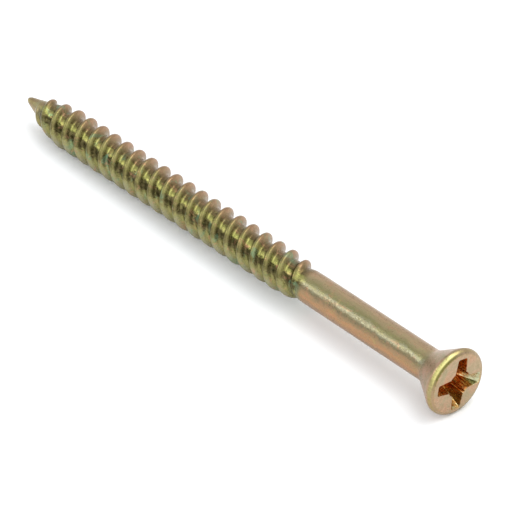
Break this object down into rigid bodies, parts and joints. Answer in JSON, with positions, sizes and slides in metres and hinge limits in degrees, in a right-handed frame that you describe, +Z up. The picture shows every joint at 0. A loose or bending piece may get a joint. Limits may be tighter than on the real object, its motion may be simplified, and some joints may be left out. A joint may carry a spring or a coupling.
{
  "type": "skirting board screw",
  "caption": "Twin-thread countersunk wood screw with a plain shank, a small steep head and a ribbed cross recess, lying on its side.",
  "frame": {"origin": "middle of the bounding box, on the surface the screw lies on", "axes": "+X runs from the point towards the head, +Z is up; the screw lies on the edge of its head and on one crest of its thread, so its own line rises by 1.23 degrees towards the head"},
  "size_m": [0.06, 0.0064, 0.0064],
  "materials": {
    "plated_steel": "satin yellow-passivated zinc plating"
  },
  "bodies": {
    "root": {"screw": "plated_steel"}
  },
  "joints": []
}
